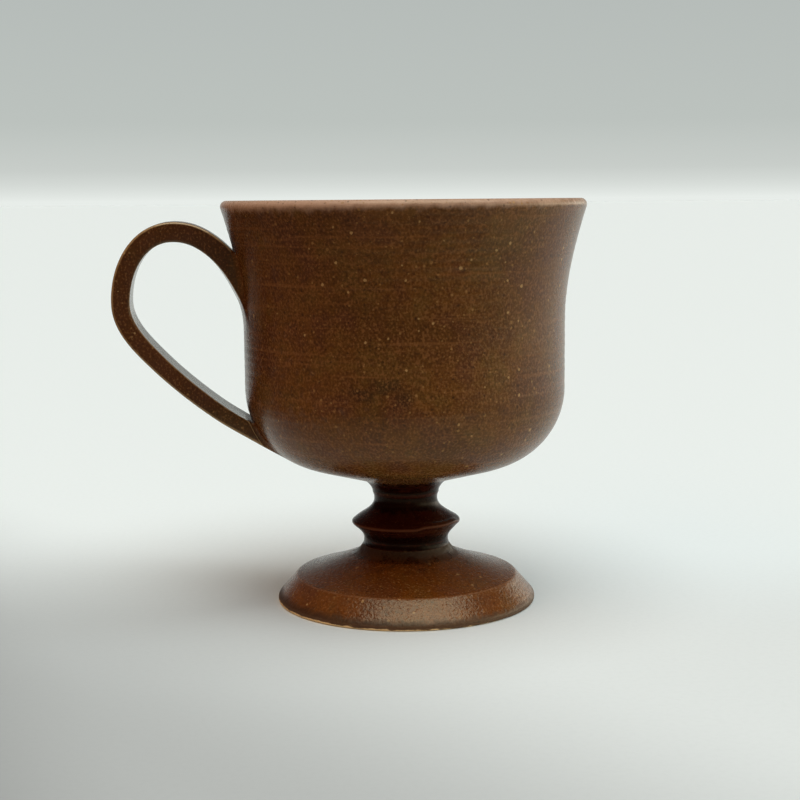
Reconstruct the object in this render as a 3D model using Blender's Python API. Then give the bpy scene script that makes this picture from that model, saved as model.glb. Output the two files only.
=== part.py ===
"""Footed coffee cup in iron-glazed stoneware.

A thrown bowl stands on a turned stem with a knop, and the stem on a spreading foot. A flat strap
handle springs from the wall below the rim and runs back into the belly of the bowl. The four clay
pieces are luted together with thin layers of slip. Lengths are in metres. Angles are in degrees,
and a lean is the angle of a line from the level.
"""

import math

import bmesh
import bpy
from mathutils import Vector
from mathutils.geometry import interpolate_bezier

# Foot, heights from the surface that it stands on
FOOT_RADIUS = 0.0343
FOOT_HEIGHT = 0.0149
FOOT_EDGE = 0.0010
RING_WIDTH = 0.0055
BEVEL_INSET = 0.0050
BEVEL_HEIGHT = 0.0070
DOME_RADIUS = 0.0145
DOME_HEIGHT = 0.0121
HOLLOW_DEPTH = 0.0038
HOLLOW_SIDE = 0.0022

# Stem, heights from its seat on the foot
WAIST_RADIUS = 0.0112
KNOP_RADIUS = 0.0142
KNOP_HEIGHT = 0.0046
KNOP_EDGE = 0.0010
KNOP_LEAN = 42
NECK_RADIUS = 0.0084
NECK_RISE = 0.0063
STEM_TOP_RADIUS = 0.0102
STEM_TOP_RISE = 0.0043
STEM_TOP_LEAN = 44

# Bowl, heights from its seat on the stem unless a drop from the rim
BOWL_HEIGHT = 0.0731
RIM_RADIUS = 0.0475
LIP_ROUND = 0.0016
FLARE_OUT = 0.0054
FLARE_DROP = 0.0310
FLARE_LEAN = 73
BELLY_HEIGHT = 0.0243
UNDERSIDE_RADIUS = 0.0267
UNDERSIDE_HEIGHT = 0.0039
SEAT_RADIUS = 0.0128
WALL_THICKNESS = 0.0045
FLOOR_THICKNESS = 0.0088
FLOOR_RADIUS = 0.0190
FLOOR_RISE = 0.0010

# Handle, places of the middle of its strap: out from the straight wall, down from the rim or up from the seat
STRAP_WIDTH = 0.0165
STRAP_TOP_THICKNESS = 0.0056
STRAP_TAIL_THICKNESS = 0.0036
STRAP_EDGE_ROUND = 0.0010
UPPER_ROOT_SINK = 0.0038
UPPER_ROOT_DROP = 0.0302
UPPER_ROOT_LEAN = 66
CROWN_OUT = 0.0174
CROWN_DROP = 0.0077
ELBOW_OUT = 0.0309
ELBOW_DROP = 0.0255
BEND_OUT = 0.0224
BEND_DROP = 0.0403
BEND_LEAN = 46
LOWER_ROOT_SINK = 0.0098
LOWER_ROOT_HEIGHT = 0.0086
LOWER_ROOT_LEAN = 30

# Joints: a layer of slip with a hairline on either side of it
SLIP_THICKNESS = 0.0008
SLIP_SPREAD = 0.0006
JOINT_GAP = 0.0003

# Fired surfaces: linear colours, and how rough glaze and slip are
BOWL_COLOUR = (0.080, 0.032, 0.012)
HANDLE_COLOUR = (0.065, 0.025, 0.010)
STEM_COLOUR = (0.030, 0.014, 0.008)
FOOT_COLOUR = (0.090, 0.036, 0.014)
SLIP_COLOUR = (0.060, 0.027, 0.013)
GLAZE_ROUGHNESS = 0.42
SLIP_ROUGHNESS = 0.55

# How finely curves are drawn
FACETS = 60
CURVE_ERROR = 0.00006
CORNER_STEPS = 2
WELD_DISTANCE = 0.000001
SHARP_ANGLE = 35

JOINT_THICKNESS = SLIP_THICKNESS + 2 * JOINT_GAP
STEM_BASE = FOOT_HEIGHT + JOINT_THICKNESS
NECK_HEIGHT = KNOP_HEIGHT + NECK_RISE
STEM_HEIGHT = NECK_HEIGHT + STEM_TOP_RISE
BOWL_BASE = STEM_BASE + STEM_HEIGHT + JOINT_THICKNESS
WALL_RADIUS = RIM_RADIUS - FLARE_OUT

# Headings in the plane of radius and height
OUTWARD = 0
UP = 90
INWARD = 180
DOWN = 270
FULL_TURN = 360


def clear_scene():
    for obj in list(bpy.data.objects):
        bpy.data.objects.remove(obj, do_unlink=True)


def heading_vector(heading):
    angle = math.radians(heading)
    return Vector((math.cos(angle), math.sin(angle)))


def lean_of(run, rise):
    return math.degrees(math.atan2(rise, run))


def flowing_line(*stations):
    """Points of a smooth line through stations of (radius, height, heading), each stretch close to an arc."""
    points = [Vector(stations[0][:2])]
    for (*start, start_heading), (*end, end_heading) in zip(stations, stations[1:]):
        start = Vector(start)
        end = Vector(end)
        chord = (end - start).length
        turn = math.radians(abs(math.remainder(end_heading - start_heading, FULL_TURN)))
        if turn:
            bend = chord / (2 * math.sin(turn / 2))
            steps = math.ceil(turn / (2 * math.acos(max(0, 1 - CURVE_ERROR / bend))))
        else:
            steps = 1
        pull = chord / (3 * math.cos(turn / 4) ** 2)
        start_pull = start + pull * heading_vector(start_heading)
        end_pull = end - pull * heading_vector(end_heading)
        stretch = interpolate_bezier(start, start_pull, end_pull, end, steps + 1)
        points += [point.to_2d() for point in stretch[1:]]
    return points


def neighbours(points):
    return zip(points[:1] + points[:-1], points, points[1:] + points[-1:])


def grown(line, distance):
    """A line that runs down an outer side, moved outwards by a distance."""
    moved = []
    for before, point, after in neighbours(line):
        along = (after - before).normalized()
        moved.append(point + distance * Vector((-along.y, along.x)))
    return moved


def finish(obj, surface, colour, roughness):
    """Give an object its own fired surface."""
    material = bpy.data.materials.new(f"{surface}_on_{obj.name}")
    material.use_nodes = True
    shader = material.node_tree.nodes["Principled BSDF"]
    shader.inputs["Base Color"].default_value = (*colour, 1)
    shader.inputs["Roughness"].default_value = roughness
    shader.inputs["Metallic"].default_value = 0
    obj.data.materials.append(material)


def add_object(name, bm, base, axis):
    """Turn a bmesh into a smooth-shaded object that stands on the cup's axis at a height."""
    bmesh.ops.recalc_face_normals(bm, faces=bm.faces)
    mesh = bpy.data.meshes.new(name)
    bm.to_mesh(mesh)
    bm.free()
    mesh.shade_smooth()
    mesh.set_sharp_from_angle(angle=math.radians(SHARP_ANGLE))
    obj = bpy.data.objects.new(name, mesh)
    obj.location.z = base
    obj.parent = axis
    bpy.context.scene.collection.objects.link(obj)
    return obj


def turned(name, outline, base, axis):
    """A solid of revolution whose outline starts and ends on the axis."""
    bm = bmesh.new()
    verts = [bm.verts.new((radius, 0, height)) for radius, height in outline]
    edges = [bm.edges.new(pair) for pair in zip(verts, verts[1:])]
    bmesh.ops.spin(bm, geom=verts + edges, cent=(0, 0, 0), axis=(0, 0, 1), angle=math.tau, steps=FACETS)
    bmesh.ops.remove_doubles(bm, verts=bm.verts, dist=WELD_DISTANCE)
    return add_object(name, bm, base, axis)


def foot_outline():
    bevel_radius = FOOT_RADIUS - BEVEL_INSET
    ring_radius = FOOT_RADIUS - FOOT_EDGE
    hollow_radius = ring_radius - RING_WIDTH
    roof_radius = hollow_radius - HOLLOW_SIDE
    dome_lean = lean_of(bevel_radius - DOME_RADIUS, DOME_HEIGHT - BEVEL_HEIGHT)
    roof_lean = lean_of(roof_radius, HOLLOW_DEPTH - HOLLOW_SIDE)
    dome = flowing_line(
        (WAIST_RADIUS, FOOT_HEIGHT, DOWN),
        (DOME_RADIUS, DOME_HEIGHT, OUTWARD - dome_lean),
        (bevel_radius, BEVEL_HEIGHT, OUTWARD - dome_lean),
    )
    edge = flowing_line((FOOT_RADIUS, FOOT_EDGE, DOWN), (ring_radius, 0, INWARD))
    hollow = flowing_line(
        (hollow_radius, 0, UP),
        (roof_radius, HOLLOW_SIDE, INWARD - roof_lean),
        (0, HOLLOW_DEPTH, INWARD - roof_lean),
    )
    return [Vector((0, FOOT_HEIGHT)), *dome, *edge, *hollow]


def stem_outline():
    side = flowing_line(
        (STEM_TOP_RADIUS, STEM_HEIGHT, INWARD + STEM_TOP_LEAN),
        (NECK_RADIUS, NECK_HEIGHT, DOWN),
        (KNOP_RADIUS, KNOP_HEIGHT + KNOP_EDGE / 2, OUTWARD - KNOP_LEAN),
        (KNOP_RADIUS, KNOP_HEIGHT - KNOP_EDGE / 2, INWARD + KNOP_LEAN),
        (WAIST_RADIUS, 0, DOWN),
    )
    return [Vector((0, STEM_HEIGHT)), *side, Vector((0, 0))]


def lip_flank(side):
    """Where the round of the lip runs into the flare, on its outer side (1) or its inner side (-1)."""
    lean = math.radians(FLARE_LEAN)
    radius = RIM_RADIUS - LIP_ROUND + side * LIP_ROUND * math.sin(lean)
    height = BOWL_HEIGHT - LIP_ROUND - side * LIP_ROUND * math.cos(lean)
    return radius, height, INWARD + FLARE_LEAN


def bowl_outer_line():
    """The outside of the bowl, from the crest of the lip down to the seat."""
    underside_lean = lean_of(UNDERSIDE_RADIUS - SEAT_RADIUS, UNDERSIDE_HEIGHT)
    return flowing_line(
        (RIM_RADIUS - LIP_ROUND, BOWL_HEIGHT, OUTWARD),
        lip_flank(1),
        (WALL_RADIUS, BOWL_HEIGHT - FLARE_DROP, DOWN),
        (WALL_RADIUS, BELLY_HEIGHT, DOWN),
        (UNDERSIDE_RADIUS, UNDERSIDE_HEIGHT, INWARD + underside_lean),
        (SEAT_RADIUS, 0, INWARD + underside_lean),
    )


def bowl_inner_line():
    """The inside of the bowl, from the crest of the lip down to the middle of the floor."""
    inner_radius = WALL_RADIUS - WALL_THICKNESS
    return flowing_line(
        (RIM_RADIUS - LIP_ROUND, BOWL_HEIGHT, INWARD),
        lip_flank(-1),
        (inner_radius, BOWL_HEIGHT - FLARE_DROP, DOWN),
        (inner_radius, BELLY_HEIGHT, DOWN),
        (FLOOR_RADIUS, FLOOR_THICKNESS + FLOOR_RISE, INWARD),
        (0, FLOOR_THICKNESS, INWARD),
    )


def bowl_outline():
    return [*reversed(bowl_inner_line()), *bowl_outer_line()[1:], Vector((0, 0))]


def slip_disc_outline(top_radius, bottom_radius):
    return [
        Vector((0, SLIP_THICKNESS)),
        Vector((top_radius, SLIP_THICKNESS)),
        Vector((bottom_radius, 0)),
        Vector((0, 0)),
    ]


def handle_route():
    """The middle of the strap from inside the wall under the rim, over the crown, to inside the belly."""
    return flowing_line(
        (WALL_RADIUS - UPPER_ROOT_SINK, BOWL_HEIGHT - UPPER_ROOT_DROP, UPPER_ROOT_LEAN),
        (WALL_RADIUS + CROWN_OUT, BOWL_HEIGHT - CROWN_DROP, OUTWARD),
        (WALL_RADIUS + ELBOW_OUT, BOWL_HEIGHT - ELBOW_DROP, DOWN),
        (WALL_RADIUS + BEND_OUT, BOWL_HEIGHT - BEND_DROP, INWARD + BEND_LEAN),
        (WALL_RADIUS - LOWER_ROOT_SINK, LOWER_ROOT_HEIGHT, INWARD + LOWER_ROOT_LEAN),
    )


def strap_section(thickness, width, corner_round):
    """Points of a flat section with rounded edges, as (through the strap, across it)."""
    points = []
    for quarter, (side, end) in enumerate(((1, 1), (-1, 1), (-1, -1), (1, -1))):
        middle = Vector((side * (thickness / 2 - corner_round), end * (width / 2 - corner_round)))
        for step in range(CORNER_STEPS + 1):
            angle = 90 * (quarter + step / CORNER_STEPS)
            points.append(middle + corner_round * heading_vector(angle))
    return points


def strap_rings(spread):
    """Sections of the strap along its route, which leaves the axis towards -X, grown by a spread."""
    route = handle_route()
    steps = [(after - before).length for before, after in zip(route, route[1:])]
    rings = []
    for index, (before, point, after) in enumerate(neighbours(route)):
        share = sum(steps[:index]) / sum(steps)
        thickness = STRAP_TOP_THICKNESS + share * (STRAP_TAIL_THICKNESS - STRAP_TOP_THICKNESS)
        section = strap_section(thickness + 2 * spread, STRAP_WIDTH + 2 * spread, STRAP_EDGE_ROUND + spread)
        along = (after - before).normalized()
        square = Vector((-along.y, along.x))
        places = [(point + through * square, across) for through, across in section]
        rings.append([(-place.x, across, place.y) for place, across in places])
    return rings


def strap(name, rings, axis):
    """One closed solid through a row of sections."""
    bm = bmesh.new()
    loops = [[bm.verts.new(place) for place in ring] for ring in rings]
    for loop, following in zip(loops, loops[1:]):
        for a, b, c, d in zip(loop, loop[1:] + loop[:1], following[1:] + following[:1], following):
            bm.faces.new((a, b, c, d))
    bm.faces.new(loops[0])
    bm.faces.new(loops[-1])
    return add_object(name, bm, BOWL_BASE, axis)


def wall_guide(name, distance, axis):
    """A hidden solid of the bowl's outside, grown by a distance, to trim what is luted to the wall."""
    line = grown(bowl_outer_line(), distance)
    guide = turned(name, [Vector((0, line[0].y)), *line, Vector((0, line[-1].y))], BOWL_BASE, axis)
    guide.hide_render = True
    guide.display_type = "WIRE"
    return guide


def trim(obj, guide, operation):
    modifier = obj.modifiers.new(f"{operation.lower()} {guide.name}", "BOOLEAN")
    modifier.operation = operation
    modifier.object = guide


def build_cup():
    clear_scene()
    axis = bpy.data.objects.new("cup_axis", None)
    bpy.context.scene.collection.objects.link(axis)

    foot = turned("foot", foot_outline(), 0, axis)
    foot_slip = turned(
        "foot_joint_slip", slip_disc_outline(WAIST_RADIUS, WAIST_RADIUS), FOOT_HEIGHT + JOINT_GAP, axis
    )
    stem = turned("stem", stem_outline(), STEM_BASE, axis)
    bowl_slip = turned(
        "bowl_joint_slip",
        slip_disc_outline(SEAT_RADIUS, STEM_TOP_RADIUS),
        STEM_BASE + STEM_HEIGHT + JOINT_GAP,
        axis,
    )
    bowl = turned("bowl", bowl_outline(), BOWL_BASE, axis)

    against_wall = wall_guide("guide_against_wall", JOINT_GAP, axis)
    over_slip = wall_guide("guide_over_slip", JOINT_GAP + SLIP_THICKNESS, axis)
    clear_of_slip = wall_guide("guide_clear_of_slip", JOINT_THICKNESS, axis)

    handle = strap("handle", strap_rings(0), axis)
    handle_reach = max(-corner[0] for corner in handle.bound_box)
    axis.location.x = (handle_reach - RIM_RADIUS) / 2
    trim(handle, clear_of_slip, "DIFFERENCE")
    slip_rings = strap_rings(SLIP_SPREAD)
    middle = len(slip_rings) // 2
    upper_slip = strap("upper_handle_slip", slip_rings[:middle], axis)
    lower_slip = strap("lower_handle_slip", slip_rings[middle:], axis)
    for slip in (upper_slip, lower_slip):
        trim(slip, over_slip, "INTERSECT")
        trim(slip, against_wall, "DIFFERENCE")

    finish(foot, "iron_glaze", FOOT_COLOUR, GLAZE_ROUGHNESS)
    finish(stem, "iron_glaze", STEM_COLOUR, GLAZE_ROUGHNESS)
    finish(bowl, "iron_glaze", BOWL_COLOUR, GLAZE_ROUGHNESS)
    finish(handle, "iron_glaze", HANDLE_COLOUR, GLAZE_ROUGHNESS)
    for slip in (foot_slip, bowl_slip, upper_slip, lower_slip):
        finish(slip, "fired_slip", SLIP_COLOUR, SLIP_ROUGHNESS)


build_cup()
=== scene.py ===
"""Looks of the footed coffee cup: thrown, luted and glazed stoneware on a pale floor.

Every piece of the frame is made again here as a fine mesh in the same place, with the throwing lines,
the smeared slip at the joints and the iron glaze that the fired cup shows. Lengths are in metres.
"""

import math

import bmesh
import bpy
import numpy as np
from mathutils import Matrix, Vector
from mathutils.geometry import interpolate_bezier


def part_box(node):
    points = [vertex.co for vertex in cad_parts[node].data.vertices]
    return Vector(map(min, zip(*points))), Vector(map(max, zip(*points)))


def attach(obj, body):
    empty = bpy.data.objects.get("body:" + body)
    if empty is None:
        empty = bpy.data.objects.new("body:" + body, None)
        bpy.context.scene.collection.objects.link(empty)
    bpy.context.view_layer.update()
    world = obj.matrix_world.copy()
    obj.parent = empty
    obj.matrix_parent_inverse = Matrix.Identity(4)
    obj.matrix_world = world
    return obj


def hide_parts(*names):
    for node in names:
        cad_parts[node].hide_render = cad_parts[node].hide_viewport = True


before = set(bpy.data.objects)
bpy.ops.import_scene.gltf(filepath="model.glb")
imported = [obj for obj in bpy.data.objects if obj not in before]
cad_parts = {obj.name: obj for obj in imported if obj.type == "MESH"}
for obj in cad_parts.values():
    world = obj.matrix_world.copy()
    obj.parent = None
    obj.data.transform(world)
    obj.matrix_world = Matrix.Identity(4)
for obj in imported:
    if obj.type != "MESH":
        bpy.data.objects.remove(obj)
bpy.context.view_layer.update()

MM = 0.001

# Places that the frame gives
FOOT_LOW, FOOT_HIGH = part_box("foot")
STEM_LOW, STEM_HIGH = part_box("stem")
BOWL_LOW, BOWL_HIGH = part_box("bowl")
AXIS_X = (FOOT_LOW.x + FOOT_HIGH.x) / 2
FOOT_RADIUS = (FOOT_HIGH.x - FOOT_LOW.x) / 2
FOOT_TOP = FOOT_HIGH.z
STEM_BASE = STEM_LOW.z
STEM_TOP = STEM_HIGH.z
BOWL_BASE = BOWL_LOW.z
RIM_TOP = BOWL_HIGH.z
RIM_RADIUS = (BOWL_HIGH.x - BOWL_LOW.x) / 2

# Foot: a dome with a bevelled edge over an upright rim and a bare ring
FOOT_EDGE = 1.0 * MM
RING_WIDTH = 5.5 * MM
FOOT_BAND_LOW = 0.6 * MM
FOOT_BAND_HIGH = 0.9 * MM
BEVEL_FOOT_INSET = 0.4 * MM
BEVEL_FOOT_HEIGHT = 1.8 * MM
BEVEL_INSET = 5.0 * MM
BEVEL_HEIGHT = 7.0 * MM
BEVEL_ROUND = 0.35 * MM
DOME_RADIUS = 14.5 * MM
DOME_HEIGHT = 12.1 * MM
DOME_LEAN = 22
DOME_EDGE_LEAN = 15
HOLLOW_DEPTH = 3.8 * MM
HOLLOW_SIDE = 2.2 * MM

# Stem: waist, knop and neck, heights from its seat
WAIST_RADIUS = 11.2 * MM
WAIST_FLARE = 0.3 * MM
WAIST_LEAN = 65
KNOP_RADIUS = 14.2 * MM
KNOP_HEIGHT = 4.6 * MM
KNOP_EDGE = 0.9 * MM
KNOP_LEAN = 42
NECK_RADIUS = 8.4 * MM
NECK_HEIGHT = 10.9 * MM
NECK_RIDGE = 0.17 * MM
NECK_RIDGE_HALF = 0.5 * MM
NECK_RIDGE_HEIGHT = 12.5 * MM
STEM_TOP_RADIUS = 10.2 * MM
STEM_TOP_LEAN = 44

# Bowl: flared wall, round belly and shallow underside
LIP_ROUND = 1.6 * MM
FLARE_OUT = 5.4 * MM
FLARE_DROP = 31.0 * MM
FLARE_LEAN = 73
BELLY_HEIGHT = 24.3 * MM
UNDERSIDE_RADIUS = 26.7 * MM
UNDERSIDE_HEIGHT = 3.9 * MM
SEAT_RADIUS = 12.8 * MM
WALL_THICKNESS = 4.5 * MM
BOWL_FLOOR_THICKNESS = 8.8 * MM
BOWL_FLOOR_RADIUS = 19.0 * MM
BOWL_FLOOR_RISE = 1.0 * MM
WALL_RADIUS = RIM_RADIUS - FLARE_OUT

# Handle: stations of the middle of its strap, out from the wall and down from the rim or up from the seat
STRAP_WIDTH = 16.5 * MM
STRAP_TOP_THICKNESS = 5.6 * MM
STRAP_TAIL_THICKNESS = 3.6 * MM
STRAP_EDGE_ROUND = 0.7 * MM
STRAP_SIDE_STARTS = 0.90
STRAP_SIDE_FULL = 0.98
UPPER_ROOT_SINK = 3.8 * MM
UPPER_ROOT_DROP = 30.2 * MM
UPPER_ROOT_LEAN = 66
CROWN_OUT = 17.4 * MM
CROWN_DROP = 7.7 * MM
ELBOW_OUT = 30.89 * MM
ELBOW_DROP = 25.5 * MM
BEND_OUT = 22.4 * MM
BEND_DROP = 40.3 * MM
BEND_LEAN = 46
LOWER_ROOT_SINK = 9.8 * MM
LOWER_ROOT_HEIGHT = 8.6 * MM
LOWER_ROOT_LEAN = 30

# Slip smeared round the roots of the handle
ROOT_START = 1.3 * MM
ROOT_SPREAD = 1.3 * MM
ROOT_FEATHER = 4.5 * MM
ROOT_FULLNESS = 0.62
ROOT_SINK = 0.25 * MM
ROOT_WRAP = 7.0 * MM
LOWER_ROOT_RUN = 7.0 * MM
SEAM_STEP = 0.3 * MM
SEAM_BEND = 1600

# Marks of the potter's hands: their depths and spacings, where they fade and how they vary round the cup
THROWING_DEPTH = 0.05 * MM
THROWING_PITCH = 2.2 * MM
THROWING_LOBES = 3
THROWING_UNEVEN = 0.4
THROWING_TWIST = 8.8 * MM
THROWING_LIP_GAP = 4 * LIP_ROUND
SLOW_WAVE_SHARE = 0.7
SLOW_WAVE_PITCH = 6.82 * MM
SLOW_WAVE_SWAY = 2
SPIRAL_DEPTH = 0.16 * MM
SPIRAL_PITCH = 5.5 * MM
SPIRAL_INNER_RADIUS = BOWL_FLOOR_RADIUS / 3
SPIRAL_OUTER_RADIUS = BOWL_FLOOR_RADIUS * 0.8
TRIMMING_DEPTH = 0.025 * MM
TRIMMING_PITCH = 1.6 * MM
TRIMMING_LOBES = 2
TRIMMING_SWAY = 0.6
PULLING_DEPTH = 0.05 * MM
PULLING_PITCH = 3.3 * MM

# Uneven edge of the knop: how far in it starts and is full, its lift and sway, its raised stretch in degrees
KNOP_UNEVEN_START = 1.8 * MM
KNOP_UNEVEN_FULL = 0.2 * MM
KNOP_LIFT = 0.06 * MM
KNOP_SWAY = 0.15 * MM
KNOP_SWAY_START = 4
KNOP_RAISE = 0.48 * MM
KNOP_RAISED_FROM = (195, 215)
KNOP_RAISED_TO = (268, 256)

# How finely the meshes are drawn
SEGMENTS = 240
PROFILE_STEP = 0.4 * MM
PROFILE_TURN = math.radians(7)
STRAP_STATIONS = 150
MEASURED_STATION = STRAP_STATIONS // 8
SECTION_STEP = 0.7 * MM
CORNER_STEPS = 6
ROOT_STEPS = 12
WALL_STEPS = 200
EDGE_REACH = 0.5 * MM
LIP_REACH = 2.2 * MM
SHARP_ANGLE = 40

# Patterns of the glaze as (size, detail, how tightly it is drawn along X, Y and Z)
GLAZE_PATTERNS = {
    "cloud": (18 * MM, 2, (1, 1, 1)),
    "tinge": (9 * MM, 2, (1, 1, 1)),
    "mottle": (2.4 * MM, 4, (1, 1, 1)),
    "grain": (0.55 * MM, 2, (1, 1, 0.8)),
    "peel": (0.8 * MM, 2, (1, 1, 1)),
    "rings": (1.1 * MM, 2, (0.03, 0.03, 1)),
}
NOISE_MIDDLE = 0.5

# Clouds in a tone that each glaze sets, as (value where they start, value where they are full, share)
CLOUD_COAT = (0.38, 0.62, 0.8)

# Coats over the clouds as (pattern, value where it starts, value where it is full, share, tone)
GRAIN_LIGHT = "8c5c34"
TINGE_COATS = (
    ("tinge", 0.45, 0.70, 0.50, "5c3424"),
    ("tinge", 0.48, 0.32, 0.35, "5a4620"),
)
GRAIN_COATS = (
    ("mottle", 0.42, 0.70, 0.45, "4a2711"),
    ("grain", 0.48, 0.30, 0.47, "2a1408"),
    ("grain", 0.52, 0.68, 0.47, GRAIN_LIGHT),
)
RING_COATS = (("rings", 0.54, 0.70, 0.50, GRAIN_LIGHT),)

# Specks as (cell, radius, share, tone)
SPECKS = (
    (3.2 * MM, 0.50 * MM, 0.75, "b8925f"),
    (1.7 * MM, 0.42 * MM, 0.65, "9a7244"),
    (1.0 * MM, 0.34 * MM, 0.45, "8a6238"),
    (1.3 * MM, 0.40 * MM, 0.50, "200f06"),
)
SPECK_SOFTNESS = 0.12 * MM
SPECK_RAGGEDNESS = 0.5 * MM
SPECK_RAGGED_SIZE = 0.9 * MM

# Bends per metre at which the glaze starts to pool and does so fully, and how unevenly it pools and breaks
POOL_BENDS = (-60, -260)
POOL_SHARE = 0.85
BREAK_SHARE = 0.85
BEND_UNEVEN = 500

# The lip's pale break, where its glaze runs thin, is made paler towards the left and darker towards the
# right as painted light and shade, by so many bends per metre in each metre
LIP_PAINTED_SHADE_FALL = -2800

# Iron bloom on the bowl's front: blots as (degrees from the front to the handle, height, half size, lean)
BLOOM_TONE = "2a2016"
BLOOM_SHARE = 0.5
BLOOM_FADE = (1.1, 0.3)
BLOOM_DEPTH = 3.5 * MM
BLOOM_TEAR = 3 * MM
BLOOM_TEAR_SIZE = 2.4 * MM
BLOTS = (
    (21, 60.0 * MM, (4.6 * MM, 2.0 * MM), 14),
    (13, 62.0 * MM, (5.4 * MM, 2.3 * MM), -6),
    (7, 59.0 * MM, (2.8 * MM, 3.4 * MM), 10),
)

# Bands of the foot by the heights where they start and are full: dark by the waist and by the edge, where
# the glaze runs thick and painted shade darkens it further under the bowl and low by the floor, then bare
# clay
WAIST_POOL_AND_SHADE = (10.5 * MM, 15.5 * MM)
WAIST_POOL_AND_SHADE_SHARE = 0.9
WAIST_WANDER = 6 * MM
WAIST_ROUGHNESS = 0.8
FOOT_EDGE_POOL_AND_SHADE = (3.22 * MM, 1.61 * MM)
FOOT_EDGE_POOL_AND_SHADE_SHARE = 0.75
FOOT_EDGE_DULL = (3.85 * MM, 0.42 * MM)
BARE_CLAY = (0.7 * MM, 0.42 * MM)
CLAY_WANDER = -1.4 * MM
CLAY_LEAN = 0.012
CLAY_TONE = "dcbc8a"
CLAY_ROUGHNESS = 0.85

# Surface of the glaze: the relief of its grain beside its peel, and the tone of its sheen
GRAIN_RELIEF = 0.4
SHEEN_TONE = "f8efc8"

# Sockets of a colour mix
MIX_MASK = 0
MIX_BELOW = 6
MIX_ABOVE = 7
MIX_RESULT = 2

# Tone of what lies out of the light
DIM_TONE = "4c4a48"

# Floor, pale round the cup. Its painted shades darken it towards the left and the front, as (direction,
# where it starts along that, where it is full, share)
PAPER_REACH = 40
PAPER_THICKNESS = 0.03
PAPER_TONE = "f2fbf9"
PAPER_TOOTH_TONE = "ecf5f3"
PAPER_TOOTH_SIZE = 1.5 * MM
PAPER_TOOTH_COAT = (0.4, 0.7, 0.3)
PAPER_ROUGHNESS = 0.65
PAPER_PAINTED_SHADES = (
    ((1, 0.7, 0), 0.0, -0.13, 0.42),
    ((1, 0.3, 0), -0.08, -0.19, 1),
    ((0.12, 1, 0), 0.06, -0.04, 0.14),
    ((0.12, 1, 0), -0.140, -0.20, 1),
)

# Backdrop as (how far up one looks, tone)
BACKDROP_TONES = (
    (0, "e8ede9"),
    (0.004, "e0e5e1"),
    (0.010, "d5dad6"),
    (0.020, "c8cdc9"),
    (0.05, "bcc2be"),
    (0.13, "b6bcb9"),
    (0.24, "8d918f"),
    (0.45, "5c5d5c"),
    (0.7, DIM_TONE),
)

# Sides of the room as (axis, where it starts, where it is full, tone, strength)
ROOM_SIDES = (
    ("Y", 0.35, -0.25, DIM_TONE, 1),
    ("X", 0.45, 0.85, "fff8e6", 2.75),
    ("X", -0.18, -0.55, "3c2c24", 1),
    ("Z", 0.14, 0.45, DIM_TONE, 1),
)

# Lamps as (power, spread in degrees, where it stands, tone)
OVERHEAD_LIGHT = (2.6, 60, (0.1, -0.22, 1), "fafdff")
LEFT_LIGHT = (1.0, 80, (-1, -0.5, 0.25), "ffba80")

# Headings in the plane of radius and height, in degrees
OUTWARD = 0
UP = 90
INWARD = 180
DOWN = 270
FULL_TURN = 360

# Camera: where it stands from the cup's axis, and how it looks
LENS = 67.6
VIEW_DISTANCE = 394.6 * MM
VIEW_HEIGHT = 106 * MM
VIEW_TURN = 7
VIEW_AIM = 0.19
VIEW_PITCH = 7.61
VIEW_ROLL = -0.48


def lean_of(run, rise):
    """Degrees by which a line leans that rises so far over a run."""
    return math.degrees(math.atan2(rise, run))


def heading_vector(heading):
    """Unit vector of a heading in degrees."""
    angle = math.radians(heading)
    return Vector((math.cos(angle), math.sin(angle)))


def flowing_line(*stations):
    """Points of a smooth line through stations of (radius, height, heading), each stretch nearly an arc."""
    points = [Vector(stations[0][:2])]
    for (*start, start_heading), (*end, end_heading) in zip(stations, stations[1:]):
        start = Vector(start)
        end = Vector(end)
        chord = (end - start).length
        turn = math.radians(abs(math.remainder(end_heading - start_heading, FULL_TURN)))
        steps = math.ceil(max(chord / PROFILE_STEP, turn / PROFILE_TURN))
        pull = chord / (3 * math.cos(turn / 4) ** 2)
        start_pull = start + pull * heading_vector(start_heading)
        end_pull = end - pull * heading_vector(end_heading)
        stretch = interpolate_bezier(start, start_pull, end_pull, end, steps + 1)
        points += [point.to_2d() for point in stretch[1:]]
    return points


def bend_of(points, reach):
    """How sharply a line bends within reach of each point, per metre: above zero where it is a ridge."""
    line = np.array(points)
    steps = np.diff(line, axis=0)
    lengths = np.linalg.norm(steps, axis=1)
    headings = np.arctan2(steps[:, 1], steps[:, 0])
    turns = np.zeros(len(line))
    turns[1:-1] = -np.remainder(np.diff(headings) + math.pi, math.tau) + math.pi
    spans = np.zeros(len(line))
    spans[:-1] += lengths / 2
    spans[1:] += lengths / 2
    along = np.concatenate(([0], np.cumsum(lengths)))
    weights = np.maximum(0, 1 - np.abs(along[:, None] - along[None, :]) / reach)
    return (weights @ turns) / (weights @ spans)


def new_piece(name, points, faces, bends):
    """A smooth-shaded mesh that keeps at each point how sharply the form bends there."""
    mesh = bpy.data.meshes.new(name)
    mesh.from_pydata(points, [], faces)
    bm = bmesh.new()
    bm.from_mesh(mesh)
    bmesh.ops.recalc_face_normals(bm, faces=bm.faces)
    bm.to_mesh(mesh)
    bm.free()
    mesh.shade_smooth()
    mesh.set_sharp_from_angle(angle=math.radians(SHARP_ANGLE))
    mesh.attributes.new("bend", "FLOAT", "POINT").data.foreach_set("value", bends)
    piece = bpy.data.objects.new(name, mesh)
    bpy.context.scene.collection.objects.link(piece)
    return piece


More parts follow.
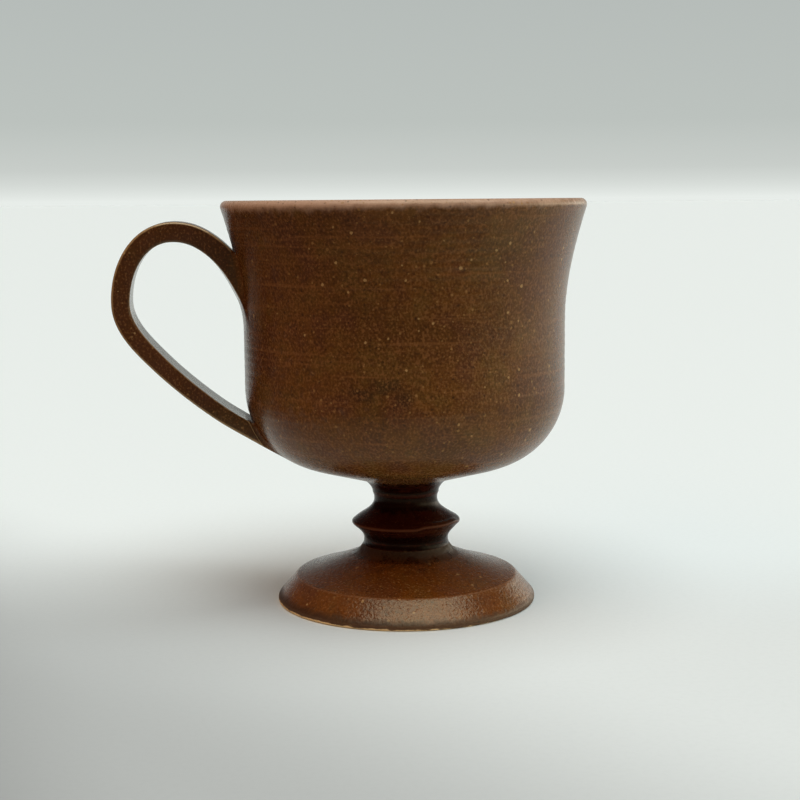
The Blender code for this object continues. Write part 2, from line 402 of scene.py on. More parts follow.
def turned_piece(name, outline, marks, reach=EDGE_REACH):
    """A solid of revolution about the cup's axis. Marks lift each point (outwards, up) off the outline."""
    points = []
    bends = []
    rings = []
    for (radius, height), bend in zip(outline, [0, *bend_of(outline[1:-1], reach), 0]):
        ring = []
        for step in range(SEGMENTS if radius > 0 else 1):
            angle = math.tau * step / SEGMENTS
            lift_out, lift_up = marks(radius, height, angle)
            out = radius + lift_out if radius > 0 else 0
            ring.append(len(points))
            points.append((AXIS_X - out * math.cos(angle), out * math.sin(angle), height + lift_up))
            bends.append(bend)
        rings.append(ring)
    return new_piece(name, points, list(bridged(rings)), bends)


def bridged(rings):
    """Faces between rings of points in a row. A ring of one point closes the form."""
    for upper, lower in zip(rings, rings[1:]):
        count = max(len(upper), len(lower))
        for step in range(count):
            following = (step + 1) % count
            corners = [upper[step % len(upper)], upper[following % len(upper)]]
            corners += [lower[following % len(lower)], lower[step % len(lower)]]
            yield tuple(dict.fromkeys(corners))


def smooth_step(low, high, value):
    """Zero at low, one at high, and an easy curve between them."""
    share = min(1, max(0, (value - low) / (high - low)))
    return share * share * (3 - 2 * share)


def no_marks(radius, height, angle):
    """For a piece that was wiped smooth."""
    return 0, 0


def throwing_marks(radius, height, angle):
    """Fingers leave a slow spiral up the wall, and a deeper one on the floor inside."""
    turn = angle / math.tau
    above = height - BOWL_BASE
    if radius < BOWL_FLOOR_RADIUS and above > BOWL_FLOOR_THICKNESS / 2:
        fade = smooth_step(0, SPIRAL_INNER_RADIUS, radius)
        fade *= smooth_step(BOWL_FLOOR_RADIUS, SPIRAL_OUTER_RADIUS, radius)
        wave = math.sin(math.tau * (radius / SPIRAL_PITCH + turn))
        return 0, -SPIRAL_DEPTH * fade * (1 + wave) / 2
    fade = smooth_step(UNDERSIDE_HEIGHT, BELLY_HEIGHT, above)
    fade *= smooth_step(RIM_TOP, RIM_TOP - THROWING_LIP_GAP, height)
    lobes = math.sin(THROWING_LOBES * angle + above / THROWING_TWIST)
    uneven = 1 - THROWING_UNEVEN * (1 - lobes)
    wave = math.sin(math.tau * (above / THROWING_PITCH + turn))
    slow_turn = math.tau * (above / SLOW_WAVE_PITCH + turn) + SLOW_WAVE_SWAY * math.sin(angle)
    wave += SLOW_WAVE_SHARE * math.sin(slow_turn)
    return -THROWING_DEPTH * fade * uneven * (1 + wave / 2), 0


def trimming_marks(radius, height, angle):
    """A turning tool leaves fine rings on the foot and under it."""
    fade = smooth_step(WAIST_RADIUS, DOME_RADIUS, radius) * smooth_step(0, FOOT_EDGE, height)
    sway = TRIMMING_SWAY * math.sin(TRIMMING_LOBES * angle)
    wave = math.sin(math.tau * radius / TRIMMING_PITCH + sway)
    return 0, -TRIMMING_DEPTH * fade * (1 + wave) / 2


def knop_marks(radius, height, angle):
    """The edge of the knop was left uneven: it wanders up and down, and stands higher along one stretch."""
    near_edge = smooth_step(KNOP_RADIUS - KNOP_UNEVEN_START, KNOP_RADIUS - KNOP_UNEVEN_FULL, radius)
    turn = math.degrees(angle)
    raised = smooth_step(*KNOP_RAISED_FROM, turn) * smooth_step(*KNOP_RAISED_TO, turn)
    lift = KNOP_LIFT + KNOP_SWAY * math.sin(angle + KNOP_SWAY_START) + KNOP_RAISE * raised
    return 0, near_edge * lift


def foot_outline():
    """From the middle of its top over dome, bevel and ring into the hollow underneath."""
    bevel_radius = FOOT_RADIUS - BEVEL_INSET
    bevel_foot_radius = FOOT_RADIUS - BEVEL_FOOT_INSET
    ring_radius = FOOT_RADIUS - FOOT_EDGE
    hollow_radius = ring_radius - RING_WIDTH
    roof_radius = hollow_radius - HOLLOW_SIDE
    bevel_lean = lean_of(bevel_foot_radius - bevel_radius, BEVEL_HEIGHT - BEVEL_FOOT_HEIGHT)
    roof_lean = lean_of(roof_radius, HOLLOW_DEPTH - HOLLOW_SIDE)
    corner = Vector((bevel_radius, BEVEL_HEIGHT))
    before_corner = corner - BEVEL_ROUND * heading_vector(OUTWARD - DOME_EDGE_LEAN)
    after_corner = corner + BEVEL_ROUND * heading_vector(OUTWARD - bevel_lean)
    side = flowing_line(
        (WAIST_RADIUS + WAIST_FLARE, FOOT_TOP, OUTWARD - WAIST_LEAN),
        (DOME_RADIUS, DOME_HEIGHT, OUTWARD - DOME_LEAN),
        (*before_corner, OUTWARD - DOME_EDGE_LEAN),
        (*after_corner, OUTWARD - bevel_lean),
        (bevel_foot_radius, BEVEL_FOOT_HEIGHT, OUTWARD - bevel_lean),
        (FOOT_RADIUS, FOOT_BAND_HIGH, DOWN),
        (FOOT_RADIUS, FOOT_BAND_LOW, DOWN),
        (ring_radius, 0, INWARD),
        (hollow_radius, 0, INWARD),
    )
    hollow = flowing_line(
        (hollow_radius, 0, UP),
        (roof_radius, HOLLOW_SIDE, INWARD - roof_lean),
        (0, HOLLOW_DEPTH, INWARD - roof_lean),
    )
    return [Vector((0, FOOT_TOP)), *side, *hollow[1:]]


def stem_outline():
    """From its top down the ridged neck, round the knop and in to the waist."""
    side = flowing_line(
        (STEM_TOP_RADIUS, STEM_TOP, INWARD + STEM_TOP_LEAN),
        (NECK_RADIUS, STEM_BASE + NECK_HEIGHT, DOWN),
        (KNOP_RADIUS, STEM_BASE + KNOP_HEIGHT + KNOP_EDGE / 2, OUTWARD - KNOP_LEAN),
        (KNOP_RADIUS, STEM_BASE + KNOP_HEIGHT - KNOP_EDGE / 2, INWARD + KNOP_LEAN),
        (WAIST_RADIUS, STEM_BASE, DOWN),
    )
    for point in side:
        away = (point.y - STEM_BASE - NECK_RIDGE_HEIGHT) / NECK_RIDGE_HALF
        point.x += NECK_RIDGE * math.exp(-away * away)
    return [Vector((0, STEM_TOP)), *side, Vector((0, STEM_BASE))]


def underside_lean():
    """How steeply the underside of the bowl rises from its seat."""
    return lean_of(UNDERSIDE_RADIUS - SEAT_RADIUS, UNDERSIDE_HEIGHT)


def bowl_collar_outline():
    """The slip between the bowl's seat and the top of the stem."""
    side = flowing_line(
        (SEAT_RADIUS, BOWL_BASE, INWARD + underside_lean()),
        (STEM_TOP_RADIUS, STEM_TOP, INWARD + STEM_TOP_LEAN),
    )
    return [Vector((0, BOWL_BASE)), *side, Vector((0, STEM_TOP))]


def foot_collar_outline():
    """The slip between the waist of the stem and the top of the foot."""
    side = flowing_line(
        (WAIST_RADIUS, STEM_BASE, DOWN),
        (WAIST_RADIUS + WAIST_FLARE, FOOT_TOP, OUTWARD - WAIST_LEAN),
    )
    return [Vector((0, STEM_BASE)), *side, Vector((0, FOOT_TOP))]


def lip_flank(side):
    """Where the round of the lip runs into the flare, on its outer side (1) or its inner side (-1)."""
    lean = math.radians(FLARE_LEAN)
    radius = RIM_RADIUS - LIP_ROUND + side * LIP_ROUND * math.sin(lean)
    height = RIM_TOP - LIP_ROUND - side * LIP_ROUND * math.cos(lean)
    return radius, height, INWARD + FLARE_LEAN


def bowl_outer_line():
    """The outside of the bowl, from the crest of the lip down to the seat."""
    return flowing_line(
        (RIM_RADIUS - LIP_ROUND, RIM_TOP, OUTWARD),
        (RIM_RADIUS, RIM_TOP - LIP_ROUND, DOWN),
        lip_flank(1),
        (WALL_RADIUS, RIM_TOP - FLARE_DROP, DOWN),
        (WALL_RADIUS, BOWL_BASE + BELLY_HEIGHT, DOWN),
        (UNDERSIDE_RADIUS, BOWL_BASE + UNDERSIDE_HEIGHT, INWARD + underside_lean()),
        (SEAT_RADIUS, BOWL_BASE, INWARD + underside_lean()),
    )


def bowl_inner_line():
    """The inside of the bowl, from the crest of the lip down to the middle of the floor."""
    inner_radius = WALL_RADIUS - WALL_THICKNESS
    floor = BOWL_BASE + BOWL_FLOOR_THICKNESS
    return flowing_line(
        (RIM_RADIUS - LIP_ROUND, RIM_TOP, INWARD),
        lip_flank(-1),
        (inner_radius, RIM_TOP - FLARE_DROP, DOWN),
        (inner_radius, BOWL_BASE + BELLY_HEIGHT, DOWN),
        (BOWL_FLOOR_RADIUS, floor + BOWL_FLOOR_RISE, INWARD),
        (0, floor, INWARD),
    )


def bowl_outline():
    """From the middle of the floor inside, up over the lip and down to the seat."""
    return [*reversed(bowl_inner_line()), *bowl_outer_line()[1:], Vector((0, BOWL_BASE))]


def handle_route():
    """The middle of the strap from inside the wall under the rim, over the crown, to inside the belly."""
    lower_end = Vector((WALL_RADIUS - LOWER_ROOT_SINK, BOWL_BASE + LOWER_ROOT_HEIGHT))
    further = lower_end + LOWER_ROOT_RUN * heading_vector(INWARD + LOWER_ROOT_LEAN)
    return flowing_line(
        (WALL_RADIUS - UPPER_ROOT_SINK, RIM_TOP - UPPER_ROOT_DROP, UPPER_ROOT_LEAN),
        (WALL_RADIUS + CROWN_OUT, RIM_TOP - CROWN_DROP, OUTWARD),
        (WALL_RADIUS + ELBOW_OUT, RIM_TOP - ELBOW_DROP, DOWN),
        (WALL_RADIUS + BEND_OUT, RIM_TOP - BEND_DROP, INWARD + BEND_LEAN),
        (*lower_end, INWARD + LOWER_ROOT_LEAN),
        (*further, INWARD + LOWER_ROOT_LEAN),
    )


def strap_section(thickness):
    """Points round the strap as (through it, across it): flat faces, round edges, faint pulling ridges."""
    half_through = thickness / 2 - STRAP_EDGE_ROUND
    half_across = STRAP_WIDTH / 2 - STRAP_EDGE_ROUND
    across_steps = math.ceil(2 * half_across / SECTION_STEP)
    points = []
    for quarter, (side, end) in enumerate(((1, 1), (-1, 1), (-1, -1), (1, -1))):
        middle = Vector((side * half_through, end * half_across))
        for step in range(CORNER_STEPS + 1):
            points.append(middle + STRAP_EDGE_ROUND * heading_vector(90 * (quarter + step / CORNER_STEPS)))
        if side == end:
            points.append(Vector((0, end * STRAP_WIDTH / 2)))
        else:
            for step in range(1, across_steps):
                across = end * half_across * (1 - 2 * step / across_steps)
                ridge = PULLING_DEPTH * (0.5 + 0.5 * math.cos(math.tau * across / PULLING_PITCH))
                fade = 1 - (across / half_across) ** 4
                points.append(Vector((side * (thickness / 2 - ridge * fade), across)))
    return points


class Wall:
    """The outside of the bowl as radius and slope by height, for what is luted to it."""

    def __init__(self):
        line = np.array(bowl_outer_line())[::-1]
        self.heights = line[:, 1]
        self.radii = line[:, 0]
        self.slopes = np.gradient(self.radii, self.heights)

    def radius(self, height):
        return np.interp(height, self.heights, self.radii)

    def slope(self, height):
        return np.interp(height, self.heights, self.slopes)

    def gap(self, point):
        """Distance of a point (out, across, height) from the wall, nearly."""
        out, across, height = point
        return (math.hypot(out, across) - self.radius(height)) / math.hypot(1, self.slope(height))


def strap_lines(wall):
    """The lines along the strap between its roots, and where each of them meets the wall at both ends."""
    route = np.array(handle_route())
    along = np.gradient(route, axis=0)
    along /= np.linalg.norm(along, axis=1)[:, None]
    steps = np.linalg.norm(np.diff(route, axis=0), axis=1)
    shares = np.concatenate(([0], np.cumsum(steps))) / steps.sum()
    sections = [
        strap_section(STRAP_TOP_THICKNESS + share * (STRAP_TAIL_THICKNESS - STRAP_TOP_THICKNESS))
        for share in shares
    ]
    wraps = [smooth_step(ROOT_WRAP, 0, wall.gap((out, 0, height))) for out, height in route]
    lines = []
    hits = []
    for place in range(len(sections[0])):
        line = []
        for point, heading, section, wrap in zip(route, along, sections, wraps):
            through, across = section[place]
            out = point[0] - through * heading[1]
            out -= wrap * out * (1 - math.cos(across / out))
            line.append((out, across, point[1] + through * heading[0]))
        line = np.array(line)
        gaps = np.array([wall.gap(point) for point in line])
        crown = int(np.argmax(gaps))
        places = np.linspace(
            crossing(gaps, crown, -1, ROOT_START), crossing(gaps, crown, 1, ROOT_START), STRAP_STATIONS
        )
        ends = [crossing(gaps, crown, -1, 0), crossing(gaps, crown, 1, 0)]
        lines.append(along_line(line, places))
        hits.append(along_line(line, ends))
    return np.array(lines), np.array(hits)


def crossing(gaps, crown, step, level):
    """The place on a line, one way from its farthest point, at which it is as near as this to the wall."""
    place = crown
    while gaps[place + step] > level:
        place += step
    return place + step * (gaps[place] - level) / (gaps[place] - gaps[place + step])


def along_line(line, places):
    """Points of a line at places between its own points."""
    return np.stack([np.interp(places, range(len(line)), axis) for axis in line.T], axis=1)


def on_cup(point):
    """A point (out towards the handle, across, height) in the frame."""
    out, across, height = point
    return AXIS_X - out, across, height


def section_bends(lines):
    """How sharply the strap's section bends at each of its lines."""
    section = lines[:, MEASURED_STATION]
    middle = section.mean(axis=0)
    ahead = lines[:, MEASURED_STATION + 1].mean(axis=0) - middle
    ahead /= np.linalg.norm(ahead)
    square = np.array((-ahead[2], 0, ahead[0]))
    ring = [(float((point - middle) @ square), point[1]) for point in section]
    count = len(ring)
    # The middle one of three rounds has no ends
    return np.abs(bend_of(ring * 3, EDGE_REACH))[count:2 * count]


def capped_tube(name, rings, bends):
    """A closed form through rings of points, with a fan over each end."""
    points = [tuple(np.mean(rings[0], axis=0))]
    values = [0.0]
    places = [[0]]
    for ring, ring_bends in zip(rings, bends):
        places.append(list(range(len(points), len(points) + len(ring))))
        points += [tuple(point) for point in ring]
        values += [float(bend) for bend in ring_bends]
    places.append([len(points)])
    points.append(tuple(np.mean(rings[-1], axis=0)))
    values.append(0.0)
    return new_piece(name, [on_cup(point) for point in points], list(bridged(places)), values)


def side_shares(lines):
    """One on the flat sides of the strap and none on its inner and outer faces."""
    across = 2 * np.abs(lines[:, 0, 1]) / STRAP_WIDTH
    return np.array([smooth_step(STRAP_SIDE_STARTS, STRAP_SIDE_FULL, share) for share in across])


def strap_handle(lines, bends):
    """The strap, whose lower end keeps a crisp edge on its sides."""
    end_bends = np.maximum(bends, SEAM_BEND * side_shares(lines))
    rings = lines.transpose(1, 0, 2)
    return capped_tube("strap_handle", rings, [*[bends] * (STRAP_STATIONS - 1), end_bends])


def root_of_handle(name, wall, lines, hits, bends, step=0):
    """Slip smeared from the end of the strap's lines on to the wall, tangent to both.

    With a step, the slip starts that far inside the strap's sides.
    """
    starts = lines[:, 0].copy()
    starts[:, 1] -= step * side_shares(lines) * np.sign(starts[:, 1])
    runs = lines[:, 0] - lines[:, 1]
    runs /= np.linalg.norm(runs, axis=1)[:, None]
    flat = np.array([flattened(wall, hit) for hit in hits])
    ahead = np.roll(flat, -1, axis=0) - np.roll(flat, 1, axis=0)
    outwards = np.stack([ahead[:, 1], -ahead[:, 0]], axis=1)
    outwards /= np.linalg.norm(outwards, axis=1)[:, None]
    if np.sum(outwards * (flat - flat.mean(axis=0))) < 0:
        outwards = -outwards
    rings = [[] for _ in range(ROOT_STEPS + 2)]
    for start, run, hit, (sideways, upwards) in zip(starts, runs, hits, outwards):
        around, rising, normal = wall_axes(wall, hit)
        away = sideways * around + upwards * rising
        spread = ROOT_SPREAD + ROOT_FEATHER * max(0, float(run @ away)) ** 2
        foot = wall_point(wall, hit, sideways * spread, upwards * spread)
        around, rising, normal = wall_axes(wall, foot)
        away = sideways * around + upwards * rising
        start_pull = start + ROOT_FULLNESS * np.linalg.norm(hit - start) * run
        foot_pull = foot - ROOT_FULLNESS * spread * away
        for place in range(ROOT_STEPS + 1):
            share = place / ROOT_STEPS
            rest = 1 - share
            point = rest**3 * start + 3 * rest**2 * share * start_pull
            rings[place].append(point + 3 * rest * share**2 * foot_pull + share**3 * foot)
        rings[-1].append(foot - ROOT_SINK * normal)
    fading = [bends * (1 - place / ROOT_STEPS) ** 2 for place in range(ROOT_STEPS + 1)]
    return capped_tube(name, rings, [*fading, fading[-1]])


def flattened(wall, point):
    """A point of the wall as (round it, up it) in lengths along the wall."""
    out, across, height = point
    fine = np.linspace(BOWL_BASE, height, WALL_STEPS)
    length = float(np.sum(np.hypot(1, wall.slope(fine)))) * (fine[1] - fine[0])
    return math.atan2(across, out) * WALL_RADIUS, length


def wall_axes(wall, point):
    """Unit vectors round the wall, up it and out of it at one of its points."""
    out, across, height = point
    radius = math.hypot(out, across)
    slope = float(wall.slope(height))
    radial = np.array((out / radius, across / radius, 0))
    around = np.array((-across / radius, out / radius, 0))
    rising = (slope * radial + np.array((0, 0, 1))) / math.hypot(1, slope)
    normal = (radial - slope * np.array((0, 0, 1))) / math.hypot(1, slope)
    return around, rising, normal


def wall_point(wall, point, sideways, upwards):
    """A point of the wall at a distance round it and up it from another."""
    out, across, height = point
    angle = math.atan2(across, out) + sideways / math.hypot(out, across)
    height += upwards / math.hypot(1, float(wall.slope(height)))
    radius = float(wall.radius(height))
    return np.array((radius * math.cos(angle), radius * math.sin(angle), height))


def linear(hex_colour, strength=1):
    """An sRGB colour such as 5a3115 as linear red, green, blue and full alpha."""
    shades = [int(hex_colour[place:place + 2], 16) / 255 for place in (0, 2, 4)]
    shades = [shade / 12.92 if shade <= 0.04045 else ((shade + 0.055) / 1.055) ** 2.4 for shade in shades]
    return (*[strength * shade for shade in shades], 1)


def add_node(tree, kind, inputs=None, **settings):
    """One node with its settings, and its inputs set to values or linked to other nodes' outputs."""
    node = tree.nodes.new(kind)
    for name, value in settings.items():
        setattr(node, name, value)
    for name, value in (inputs or {}).items():
        if isinstance(value, bpy.types.NodeSocket):
            tree.links.new(value, node.inputs[name])
        else:
            node.inputs[name].default_value = value
    return node


def new_material(name):
    """A node material with its tree and its shader."""
    material = bpy.data.materials.new(name)
    material.use_nodes = True
    return material, material.node_tree, material.node_tree.nodes["Principled BSDF"]


def coated(tree, colour, coats):
    """A colour under coats of (pattern, value where it starts, value where it is full, share, colour)."""
    for pattern, start, full, share, coat in coats:
        sockets = {"Value": pattern, "From Min": start, "From Max": full, "To Max": share}
        mask = add_node(tree, "ShaderNodeMapRange", sockets, interpolation_type="SMOOTHSTEP")
        sockets = {MIX_MASK: mask.outputs["Result"], MIX_BELOW: colour, MIX_ABOVE: coat}
        colour = add_node(tree, "ShaderNodeMix", sockets, data_type="RGBA").outputs[MIX_RESULT]
    return colour


def glaze_patterns(tree, place):
    """The noises of the glaze by name, at their real sizes."""
    patterns = {}
    for name, (size, detail, tightness) in GLAZE_PATTERNS.items():
        sockets = {0: place, 1: [share / size for share in tightness]}
        scaled = add_node(tree, "ShaderNodeVectorMath", sockets, operation="MULTIPLY").outputs[0]
        sockets = {"Vector": scaled, "Scale": 1, "Detail": detail}
        patterns[name] = add_node(tree, "ShaderNodeTexNoise", sockets).outputs["Fac"]
    return patterns


def pattern_coats(patterns, table, strength):
    """The coats of a table, with their shares scaled by a strength."""
    return [
        (patterns[pattern], start, full, share * strength, linear(tone))
        for pattern, start, full, share, tone in table
    ]


def bloom_coats(tree, place, blots):
    """Dark torn blots, where iron bloomed in the fire."""
    sockets = {"Vector": place, "Scale": 1 / BLOOM_TEAR_SIZE, "Detail": 3}
    tear = add_node(tree, "ShaderNodeTexNoise", sockets).outputs["Color"]
    sockets = {0: tear, 1: [NOISE_MIDDLE] * 3}
    tear = add_node(tree, "ShaderNodeVectorMath", sockets, operation="SUBTRACT").outputs[0]
    sockets = {0: tear, 1: [BLOOM_TEAR] * 3, 2: place}
    torn_place = add_node(tree, "ShaderNodeVectorMath", sockets, operation="MULTIPLY_ADD").outputs[0]
    coats = []
    for turn, height, (half_across, half_up), lean in blots:
        angle = math.radians(turn)
        sockets = {
            "Vector": torn_place,
            "Location": (AXIS_X - WALL_RADIUS * math.sin(angle), -WALL_RADIUS * math.cos(angle), height),
            "Rotation": (0, math.radians(lean), 0),
            "Scale": (half_across, BLOOM_DEPTH, half_up),
        }
        inside = add_node(tree, "ShaderNodeMapping", sockets, vector_type="TEXTURE").outputs["Vector"]
        reach = add_node(tree, "ShaderNodeVectorMath", {0: inside}, operation="LENGTH").outputs["Value"]
        coats.append((reach, *BLOOM_FADE, BLOOM_SHARE, linear(BLOOM_TONE)))
    return coats


def speck_coats(tree, place, strength):
    """Small ragged specks of clay and iron that melted through, each kind in cells of its own."""
    sockets = {"Vector": place, "Scale": 1 / SPECK_RAGGED_SIZE}
    ragged = add_node(tree, "ShaderNodeTexNoise", sockets).outputs["Color"]
    sockets = {0: ragged, 1: [SPECK_RAGGEDNESS] * 3, 2: place}
    ragged_place = add_node(tree, "ShaderNodeVectorMath", sockets, operation="MULTIPLY_ADD").outputs[0]
    coats = []
    for cell, radius, share, tone in SPECKS:
        cells = add_node(tree, "ShaderNodeTexVoronoi", {"Vector": ragged_place, "Scale": 1 / cell})
        chance = add_node(tree, "ShaderNodeSeparateColor", {"Color": cells.outputs["Color"]}).outputs["Red"]
        sockets = {0: chance, 1: radius / cell}
        reach = add_node(tree, "ShaderNodeMath", sockets, operation="MULTIPLY").outputs[0]
        sockets = {0: reach, 1: cells.outputs["Distance"]}
        inside = add_node(tree, "ShaderNodeMath", sockets, operation="SUBTRACT").outputs[0]
        coats.append((inside, 0, SPECK_SOFTNESS / cell, share * strength, linear(tone)))
    return coats


def foot_bands(tree, parts, uneven, pooled):
    """Coats of the foot by height, with painted shade by the waist and the edge, and dull places as (height,
    where it starts, where full, roughness).
    """
    sockets = {0: uneven, 1: WAIST_WANDER, 2: parts["Z"]}
    waist_height = add_node(tree, "ShaderNodeMath", sockets, operation="MULTIPLY_ADD").outputs[0]
    sockets = {0: uneven, 1: CLAY_WANDER, 2: parts["Z"]}
    wander = add_node(tree, "ShaderNodeMath", sockets, operation="MULTIPLY_ADD").outputs[0]
    sockets = {0: parts["X"], 1: CLAY_LEAN, 2: wander}
    edge_height = add_node(tree, "ShaderNodeMath", sockets, operation="MULTIPLY_ADD").outputs[0]
    # Painted shade over thick glaze: the waist under the bowl and the edge by the floor are darkened
    coats = [
        (waist_height, *WAIST_POOL_AND_SHADE, WAIST_POOL_AND_SHADE_SHARE, linear(pooled)),
        (edge_height, *FOOT_EDGE_POOL_AND_SHADE, FOOT_EDGE_POOL_AND_SHADE_SHARE, linear(pooled)),
        (edge_height, *BARE_CLAY, 1, linear(CLAY_TONE)),
    ]
    dull_places = [
        (waist_height, *WAIST_POOL_AND_SHADE, WAIST_ROUGHNESS),
        (edge_height, *FOOT_EDGE_DULL, CLAY_ROUGHNESS),
    ]
    return coats, dull_places


def iron_glaze(
    name, *, body, cloud, pooled, broken, break_bends, peel, ior, rough,
    painted_shade_fall=0, speckled=1, rings=0, blots=(), banded=False,
):
    """Satin iron glaze dipped over speckled stoneware.

    It shows slow clouds where the dip was thick or thin, a fine iron grain that ran a little down the walls,
    tan specks of clay that melted through, a paler break on edges and a dark pool in hollows. The orange
    peel of its surface spreads the highlights. A glaze's IOR is about 1.5, and each piece's was matched to
    the sheen that it shows.
    """
    material, tree, shader = new_material(name)
    place = add_node(tree, "ShaderNodeTexCoord").outputs["Object"]
    parts = add_node(tree, "ShaderNodeSeparateXYZ", {0: place}).outputs
    patterns = glaze_patterns(tree, place)
    sockets = {0: patterns["mottle"], 1: NOISE_MIDDLE}
    uneven = add_node(tree, "ShaderNodeMath", sockets, operation="SUBTRACT").outputs[0]
    bend = add_node(tree, "ShaderNodeAttribute", attribute_name="bend").outputs["Fac"]
    sockets = {0: uneven, 1: BEND_UNEVEN, 2: bend}
    edge = add_node(tree, "ShaderNodeMath", sockets, operation="MULTIPLY_ADD").outputs[0]
    # Painted light and shade: along X the pale break grows towards the left and fades towards the right
    sockets = {0: parts["X"], 1: painted_shade_fall, 2: edge}
    thin_edge_and_painted_shade = add_node(tree, "ShaderNodeMath", sockets, operation="MULTIPLY_ADD").outputs[0]
    band_coats, dull_places = foot_bands(tree, parts, uneven, pooled) if banded else ([], [])
    coats = [
        (patterns["cloud"], *CLOUD_COAT, linear(cloud)),
        *pattern_coats(patterns, TINGE_COATS, speckled),
        *(bloom_coats(tree, place, blots) if blots else []),
        *pattern_coats(patterns, GRAIN_COATS, speckled),
        *pattern_coats(patterns, RING_COATS, rings),
        (thin_edge_and_painted_shade, *break_bends, BREAK_SHARE, linear(broken)),
        *speck_coats(tree, place, speckled),
        (edge, *POOL_BENDS, POOL_SHARE, linear(pooled)),
        *band_coats,
    ]
    smoothest, roughest = rough
    sockets = {"Value": patterns["grain"], "To Min": smoothest, "To Max": roughest}
    roughness = add_node(tree, "ShaderNodeMapRange", sockets).outputs["Result"]
    for height, start, full, dullest in dull_places:
        sockets = {"Value": height, "From Min": start, "From Max": full, "To Max": dullest}
        dullness = add_node(tree, "ShaderNodeMapRange", sockets).outputs["Result"]
        sockets = {0: roughness, 1: dullness}
        roughness = add_node(tree, "ShaderNodeMath", sockets, operation="MAXIMUM").outputs[0]
    sockets = {0: patterns["grain"], 1: GRAIN_RELIEF, 2: patterns["peel"]}
    relief = add_node(tree, "ShaderNodeMath", sockets, operation="MULTIPLY_ADD").outputs[0]
    sockets = {0: patterns["rings"], 1: rings, 2: relief}
    relief = add_node(tree, "ShaderNodeMath", sockets, operation="MULTIPLY_ADD").outputs[0]
    bump = add_node(tree, "ShaderNodeBump", {"Strength": 1, "Distance": peel, "Height": relief})
    tree.links.new(coated(tree, linear(body), coats), shader.inputs["Base Color"])
    tree.links.new(roughness, shader.inputs["Roughness"])
    tree.links.new(bump.outputs["Normal"], shader.inputs["Normal"])
    shader.inputs["IOR"].default_value = ior
    shader.inputs["Specular Tint"].default_value = linear(SHEEN_TONE)
    return material


def floor_paper():
    """Matt background paper: nearly even, with a faint tooth and a soft sheen, and painted shade towards the
    left and the front.
    """
    material, tree, shader = new_material("matt_background_paper")
    place = add_node(tree, "ShaderNodeTexCoord").outputs["Object"]
    sockets = {"Vector": place, "Scale": 1 / PAPER_TOOTH_SIZE, "Detail": 3}
    tooth = add_node(tree, "ShaderNodeTexNoise", sockets).outputs["Fac"]
    coats = [(tooth, *PAPER_TOOTH_COAT, linear(PAPER_TOOTH_TONE))]
    # Painted shade: the paper darkens along each slant, towards the left and the front
    for slant, start, full, share in PAPER_PAINTED_SHADES:
        distance = add_node(tree, "ShaderNodeVectorMath", {0: place, 1: slant}, operation="DOT_PRODUCT")
        coats.append((distance.outputs["Value"], start, full, share, linear(DIM_TONE)))
    tree.links.new(coated(tree, linear(PAPER_TONE), coats), shader.inputs["Base Color"])
    shader.inputs["Roughness"].default_value = PAPER_ROUGHNESS
    return material


def add_camera():
    """A camera at the photograph's angle."""
    camera = bpy.data.objects.new("camera", bpy.data.cameras.new("camera"))
    camera.data.lens = LENS
    turn = math.radians(VIEW_TURN)
    place = Vector((AXIS_X - VIEW_DISTANCE * math.sin(turn), -VIEW_DISTANCE * math.cos(turn), VIEW_HEIGHT))
    camera.matrix_world = (
        Matrix.Translation(place)
        @ Matrix.Rotation(math.radians(VIEW_AIM - VIEW_TURN), 4, "Z")
        @ Matrix.Rotation(math.radians(90 - VIEW_PITCH), 4, "X")
        @ Matrix.Rotation(math.radians(VIEW_ROLL), 4, "Z")
    )
    bpy.context.scene.collection.objects.link(camera)
    bpy.context.scene.camera = camera


def add_floor():
    """A wide floor of background paper."""
    corners = ((-1, -1), (1, -1), (1, 1), (-1, 1))
    heights = (0, -PAPER_THICKNESS)
    points = [(PAPER_REACH * x, PAPER_REACH * y, height) for height in heights for x, y in corners]
    faces = [(0, 1, 2, 3), (7, 6, 5, 4), (0, 4, 5, 1), (1, 5, 6, 2), (2, 6, 7, 3), (3, 7, 4, 0)]
    floor = new_piece("floor_paper", points, faces, [0.0] * len(points))
    floor.data.materials.append(floor_paper())


def add_sun(name, energy, spread, place, tone):
    """A soft lamp far off in the direction of a place."""
    sun = bpy.data.objects.new(name, bpy.data.lights.new(name, "SUN"))
    sun.data.energy = energy
    sun.data.angle = math.radians(spread)
    sun.data.color = linear(tone)[:3]
    sun.rotation_euler = Vector(place).to_track_quat("Z", "Y").to_euler()
    bpy.context.scene.collection.objects.link(sun)
    return sun


def add_room():
    """A pale wall behind, a bright window side on the right and a dimmer room in front."""
    world = bpy.data.worlds.new("room")
    bpy.context.scene.world = world
    world.use_nodes = True
    tree = world.node_tree
    direction = add_node(tree, "ShaderNodeTexCoord").outputs["Generated"]
    parts = add_node(tree, "ShaderNodeSeparateXYZ", {0: direction}).outputs
    backdrop = add_node(tree, "ShaderNodeValToRGB", {0: parts["Z"]})
    stops = backdrop.color_ramp.elements
    while len(stops) < len(BACKDROP_TONES):
        stops.new(0)
    for stop, (place, tone) in zip(stops, BACKDROP_TONES):
        stop.position = place
        stop.color = linear(tone)
    sides = [
        (parts[axis], start, full, 1, linear(tone, strength))
        for axis, start, full, tone, strength in ROOM_SIDES
    ]
    colour = coated(tree, backdrop.outputs["Color"], sides)
    tree.links.new(colour, tree.nodes["Background"].inputs["Color"])
    add_sun("overhead", *OVERHEAD_LIGHT)
    add_sun("left_fill", *LEFT_LIGHT).visible_glossy = False


def dress(piece, node, material):
    """Glazes a piece and puts it in the place of a solid of the frame."""
    piece.data.materials.append(material)
    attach(piece, "root")
    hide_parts(node)


add_camera()
add_floor()
add_room()

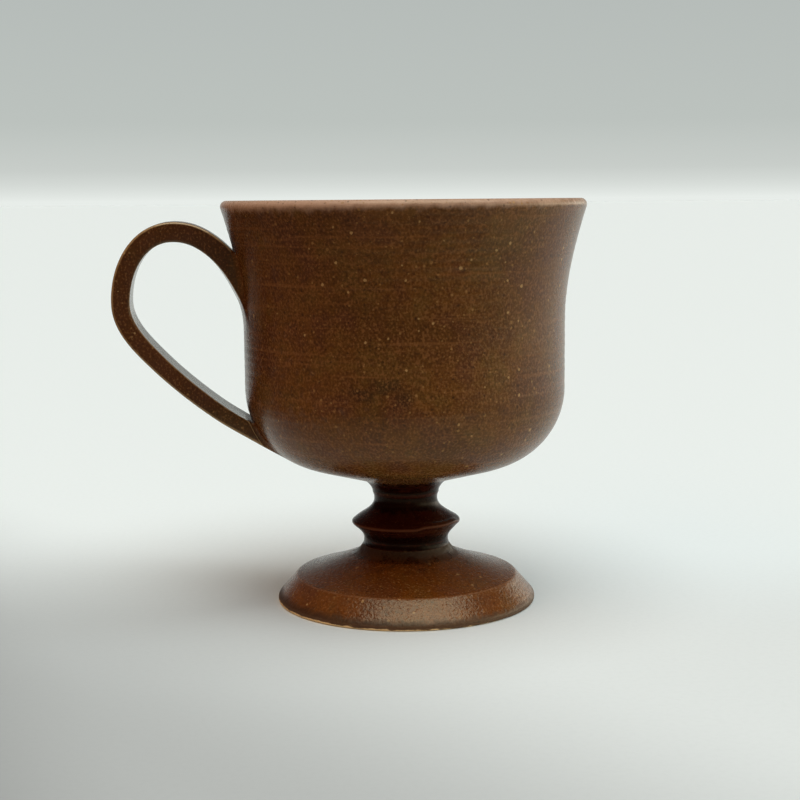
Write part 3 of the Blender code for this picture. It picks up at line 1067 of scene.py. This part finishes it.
# Clouded and ringed on the bowl, and thin on its lip, where the clay shows through pale, with painted shade
# that darkens the lip towards its right
bowl_glaze = iron_glaze(
    "dipped_iron_glaze_bowl", body="663f19", cloud="543314", pooled="2a1209", broken="c4a389",
    break_bends=(70, 640), painted_shade_fall=LIP_PAINTED_SHADE_FALL, rings=0.65, blots=BLOTS,
    peel=0.06 * MM, ior=1.36, rough=(0.20, 0.34),
)
# Nearly black on the stem and its collars: the glaze runs thick there, and painted shade under the bowl
# darkens it further; with a rusty line on the sharp edges
stem_glaze_and_painted_shade = iron_glaze(
    "dipped_iron_glaze_stem", body="300a03", cloud="240802", pooled="0e0301", broken="5a3320",
    break_bends=(800, 1700), speckled=0.12, rings=0.2,
    peel=0.05 * MM, ior=1.18, rough=(0.18, 0.32),
)
# Redder on the foot, with a coarse peel that breaks up its sheen, and bands of painted shade by the waist
# and the edge
foot_glaze = iron_glaze(
    "dipped_iron_glaze_foot", body="703c0e", cloud="65350a", pooled="210902", broken="9a7050",
    break_bends=(420, 1000), speckled=0.75, rings=0.2, banded=True,
    peel=0.15 * MM, ior=1.56, rough=(0.17, 0.33),
)
# Darker and glossier on the handle, with pale edges
handle_glaze = iron_glaze(
    "dipped_iron_glaze_handle", body="4c2609", cloud="3e1e07", pooled="2a1209", broken="a8875c",
    break_bends=(750, 1400), speckled=0.7,
    peel=0.06 * MM, ior=1.65, rough=(0.14, 0.26),
)
# Between the handle's and the bowl's where it covers the smeared slip
slip_glaze = iron_glaze(
    "dipped_iron_glaze_over_slip", body="5a2f0e", cloud="4a250a", pooled="1c0b05", broken="9a7a54",
    break_bends=(900, 1500), speckled=0.8,
    peel=0.06 * MM, ior=1.42, rough=(0.20, 0.32),
)

wall = Wall()
lines, hits = strap_lines(wall)
bends = section_bends(lines)
foot = turned_piece("spread_foot", foot_outline(), trimming_marks)
foot_collar = turned_piece("foot_collar", foot_collar_outline(), no_marks)
stem = turned_piece("turned_stem", stem_outline(), knop_marks)
bowl_collar = turned_piece("bowl_collar", bowl_collar_outline(), no_marks)
bowl = turned_piece("thrown_bowl", bowl_outline(), throwing_marks, LIP_REACH)
handle = strap_handle(lines, bends)
upper_root = root_of_handle("upper_root", wall, lines, hits[:, 0], bends)
lower_root = root_of_handle("lower_root", wall, lines[:, ::-1], hits[:, 1], bends, SEAM_STEP)

dress(foot, "foot", foot_glaze)
dress(foot_collar, "foot_joint_slip", stem_glaze_and_painted_shade)
dress(stem, "stem", stem_glaze_and_painted_shade)
dress(bowl_collar, "bowl_joint_slip", stem_glaze_and_painted_shade)
dress(bowl, "bowl", bowl_glaze)
dress(handle, "handle", handle_glaze)
dress(upper_root, "upper_handle_slip", slip_glaze)
dress(lower_root, "lower_handle_slip", slip_glaze)

bpy.context.scene.view_settings.view_transform = "Standard"
